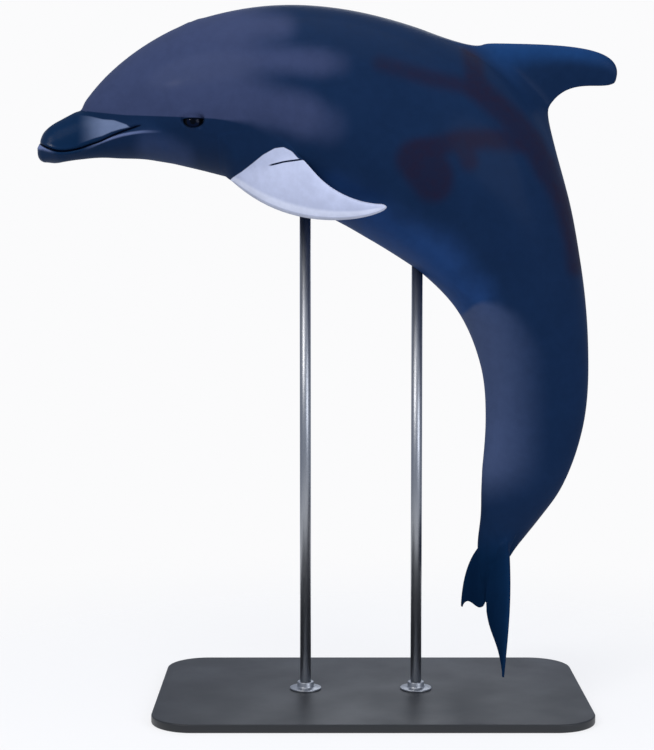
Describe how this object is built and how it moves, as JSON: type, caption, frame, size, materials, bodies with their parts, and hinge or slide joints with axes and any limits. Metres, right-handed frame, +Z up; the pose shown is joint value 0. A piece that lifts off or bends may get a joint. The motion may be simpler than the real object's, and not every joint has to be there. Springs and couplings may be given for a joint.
{
  "type": "bottlenose dolphin, life-size still model on a display stand",
  "caption": "Life-size bottlenose dolphin in a high leap, tail hanging down, held over a flat base by two upright rods.",
  "frame": {"origin": "middle of the underside of the stand's base, on the floor", "axes": "+Z up; the dolphin's snout points to -X, its left side faces -Y and its tail hangs down on the +X side"},
  "size_m": [1.6691, 0.76, 2.0132],
  "materials": {
    "skin": "smooth, hairless, wet-satin skin, dark blue grey over the back and tail, paler on melon, cheeks and throat",
    "flipper_skin": "smooth pale blue-grey skin, satin",
    "eye": "wet, very dark, glossy",
    "stand_plate": "laminated board with a dark grey satin lacquer",
    "stand_steel": "brushed"
  },
  "bodies": {
    "root": {"head": "skin", "upper_jaw": "skin", "lower_jaw": "skin", "chest": "skin", "belly": "skin", "loin": "skin", "tail_front": "skin", "tail_rear": "skin", "dorsal_fin": "skin", "fluke_left": "skin", "fluke_right": "skin", "flipper_left": "flipper_skin", "flipper_right": "flipper_skin", "eye_left": "eye", "eye_right": "eye", "stand_base": "stand_plate", "stand_rod_front": "stand_steel", "stand_rod_rear": "stand_steel", "stand_collar_front": "stand_steel", "stand_collar_rear": "stand_steel"}
  },
  "joints": []
}
